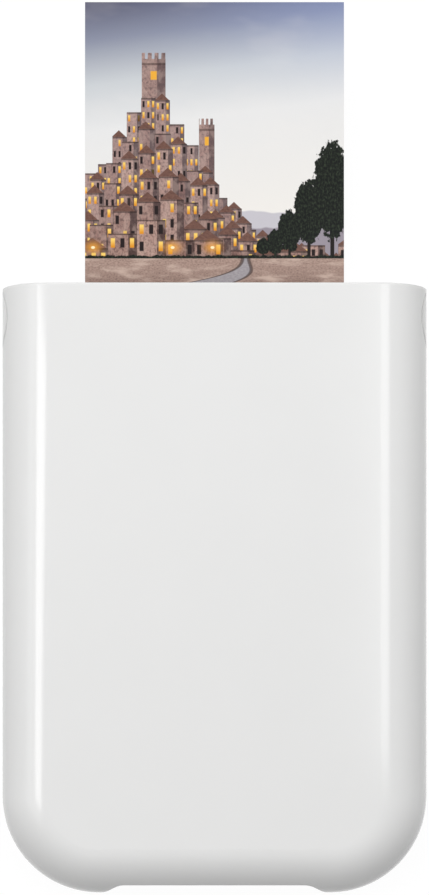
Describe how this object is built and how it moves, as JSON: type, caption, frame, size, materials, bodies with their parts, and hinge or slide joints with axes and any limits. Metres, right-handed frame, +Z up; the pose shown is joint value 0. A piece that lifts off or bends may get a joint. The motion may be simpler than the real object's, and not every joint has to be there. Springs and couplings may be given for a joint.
{
  "type": "compact photo printer",
  "caption": "Pocket photo printer with a hinged cover over its paper tray, a roller and thermal head feed, and a picture sheet coming out of its head end.",
  "frame": {"origin": "centre of the flat underside, with the printer lying on it", "axes": "+X across the body to the right seen from above with the head end up, +Y along the sheet's way out at the head end, +Z up out of the cover's face"},
  "size_m": [0.0852, 0.18, 0.0223],
  "materials": {
    "cover_white": "gloss",
    "case_white": "gloss",
    "button_white": "satin",
    "light_pipe": "frosted",
    "bezel_grey": "fine texture",
    "tray_grey": "fine texture",
    "guide_black": "fine texture",
    "gear_white": "satin",
    "bush_ivory": "satin",
    "pinch_grey": "satin",
    "sheet_steel": "brushed",
    "shaft_steel": "ground",
    "spring_steel": "drawn",
    "screw_steel": "zinc",
    "magnet_nickel": "plated",
    "roller_rubber": "ground",
    "pad_rubber": "matte",
    "sink_aluminium": "milled",
    "head_ceramic": "glazed",
    "motor_can": "drawn",
    "brass_drive": "turned",
    "battery_wrap": "film",
    "connector_ivory": "satin",
    "board_green": "solder mask",
    "chip_black": "moulded",
    "paper_white": "satin",
    "picture_sheet": "gloss"
  },
  "bodies": {
    "case": {"bottom_case": "case_white", "exit_bezel": "bezel_grey", "hinge_pins": "shaft_steel", "led_light_pipe": "light_pipe", "usb_shell": "sheet_steel", "usb_tongue": "guide_black", "chassis": "tray_grey", "chassis_screws": "screw_steel", "paper_stack": "paper_white", "separation_pad": "pad_rubber", "pickup_bushes": "bush_ivory", "platen_bushes": "bush_ivory", "exit_bushes": "bush_ivory", "pinch_springs": "spring_steel", "side_plate_left": "sheet_steel", "side_plate_right": "sheet_steel", "spring_bridge": "sheet_steel", "exit_guide": "guide_black", "head_pivot_rod": "shaft_steel", "head_springs": "spring_steel", "feed_motor": "motor_can", "motor_gearbox": "brass_drive", "gear_axles": "shaft_steel", "gear_plate": "sheet_steel", "frame_screws": "screw_steel", "battery": "battery_wrap", "board_connectors": "connector_ivory", "main_board": "board_green", "board_chips": "chip_black", "key_switches": "chip_black", "board_screws": "screw_steel", "sensors": "chip_black"},
    "cover": {"top_cover": "cover_white", "cover_magnet": "magnet_nickel", "pressure_springs": "spring_steel"},
    "pressure_plate": {"pressure_plate": "sheet_steel"},
    "power_button": {"power_button": "button_white"},
    "print_head": {"head_bracket": "sheet_steel", "heat_sink": "sink_aluminium", "thermal_head": "head_ceramic", "head_screws": "screw_steel"},
    "platen": {"platen_shaft": "shaft_steel", "platen_rubber": "roller_rubber", "platen_gear": "gear_white"},
    "exit_roller": {"exit_shaft": "shaft_steel", "exit_tyres": "roller_rubber", "exit_gear": "gear_white"},
    "pickup_roller": {"pickup_shaft": "shaft_steel", "pickup_tyres": "roller_rubber", "pickup_gear": "gear_white"},
    "pinch_rollers": {"pinch_shaft": "shaft_steel", "pinch_rollers": "pinch_grey"},
    "motor_pinion": {"motor_pinion": "brass_drive"},
    "reduction_gear": {"reduction_gear": "gear_white"},
    "transfer_gear": {"transfer_gear": "gear_white"},
    "pickup_idler": {"pickup_idler": "gear_white"},
    "exit_idler": {"exit_idler": "gear_white"},
    "printed_sheet": {"printed_sheet": "picture_sheet"}
  },
  "joints": [
    {"name": "cover_hinge", "type": "hinge", "parent": "case", "child": "cover", "pos_m": [0, 0.0545, 0.01115], "axis": [-1, 0, 0], "range_deg": [0, 55]},
    {"name": "pressure_plate_slide", "type": "slide", "parent": "cover", "child": "pressure_plate", "axis": [0, 0, 1], "range_m": [0, 0.0008], "stiffness_N_per_m": 300, "springref_m": -0.002, "deforming": ["pressure_springs"]},
    {"name": "power_button_press", "type": "slide", "parent": "case", "child": "power_button", "axis": [0, 1, 0], "range_m": [0, 0.0003], "stiffness_N_per_m": 1500, "springref_m": -0.0003},
    {"name": "print_head_lift", "type": "hinge", "parent": "case", "child": "print_head", "pos_m": [0, 0.037, 0.01318], "axis": [1, 0, 0], "range_deg": [0, 3], "stiffness_Nm_per_rad": 0.6, "springref_deg": -8.59, "deforming": ["head_springs"]},
    {"name": "platen_spin", "type": "hinge", "parent": "case", "child": "platen", "pos_m": [0, 0.0455, 0.00637], "axis": [-1, 0, 0], "range_deg": [-939.01, 175.07]},
    {"name": "exit_spin", "type": "hinge", "parent": "case", "child": "exit_roller", "pos_m": [0, 0.055, 0.00737], "axis": [-1, 0, 0], "range_deg": [-1300.17, 242.41]},
    {"name": "exit_idler_spin", "type": "hinge", "parent": "case", "child": "exit_idler", "pos_m": [0, 0.05054, 0.00963], "axis": [-1, 0, 0], "range_deg": [-262.61, 1408.52]},
    {"name": "pinch_spin", "type": "hinge", "parent": "case", "child": "pinch_rollers", "pos_m": [0, 0.055, 0.01211], "axis": [-1, 0, 0], "range_deg": [-350.14, 1878.03]},
    {"name": "transfer_spin", "type": "hinge", "parent": "case", "child": "transfer_gear", "pos_m": [0, 0.04017, 0.0097], "axis": [-1, 0, 0], "range_deg": [-242.41, 1300.17]},
    {"name": "reduction_spin", "type": "hinge", "parent": "case", "child": "reduction_gear", "pos_m": [0, 0.03585, 0.0124], "axis": [-1, 0, 0], "range_deg": [-1408.52, 262.61]},
    {"name": "motor_spin", "type": "hinge", "parent": "case", "child": "motor_pinion", "pos_m": [0, 0.03136, 0.0053], "axis": [-1, 0, 0], "range_deg": [-840.34, 4507.27]},
    {"name": "pickup_idler_spin", "type": "hinge", "parent": "case", "child": "pickup_idler", "pos_m": [0, 0.02788, 0.0117], "axis": [-1, 0, 0], "range_deg": [-112.55, 603.65]},
    {"name": "pickup_spin", "type": "hinge", "parent": "case", "child": "pickup_roller", "pos_m": [0, 0.0205, 0.00655], "axis": [-1, 0, 0], "range_deg": [-994.25, 185.37]},
    {"name": "sheet_feed", "type": "slide", "parent": "case", "child": "printed_sheet", "axis": [0, 1, 0], "range_m": [-0.05901, 0.01101]}
  ],
  "couplings": [
    {"joint": "exit_spin", "follows": "platen_spin", "ratio": 1.3846},
    {"joint": "exit_idler_spin", "follows": "platen_spin", "ratio": -1.5},
    {"joint": "pinch_spin", "follows": "platen_spin", "ratio": -2},
    {"joint": "transfer_spin", "follows": "platen_spin", "ratio": -1.3846},
    {"joint": "reduction_spin", "follows": "platen_spin", "ratio": 1.5},
    {"joint": "motor_spin", "follows": "platen_spin", "ratio": -4.8},
    {"joint": "pickup_idler_spin", "follows": "platen_spin", "ratio": -0.64286},
    {"joint": "pickup_spin", "follows": "platen_spin", "ratio": 1.0588},
    {"joint": "sheet_feed", "follows": "platen_spin", "m_per_rad": 0.0036}
  ]
}
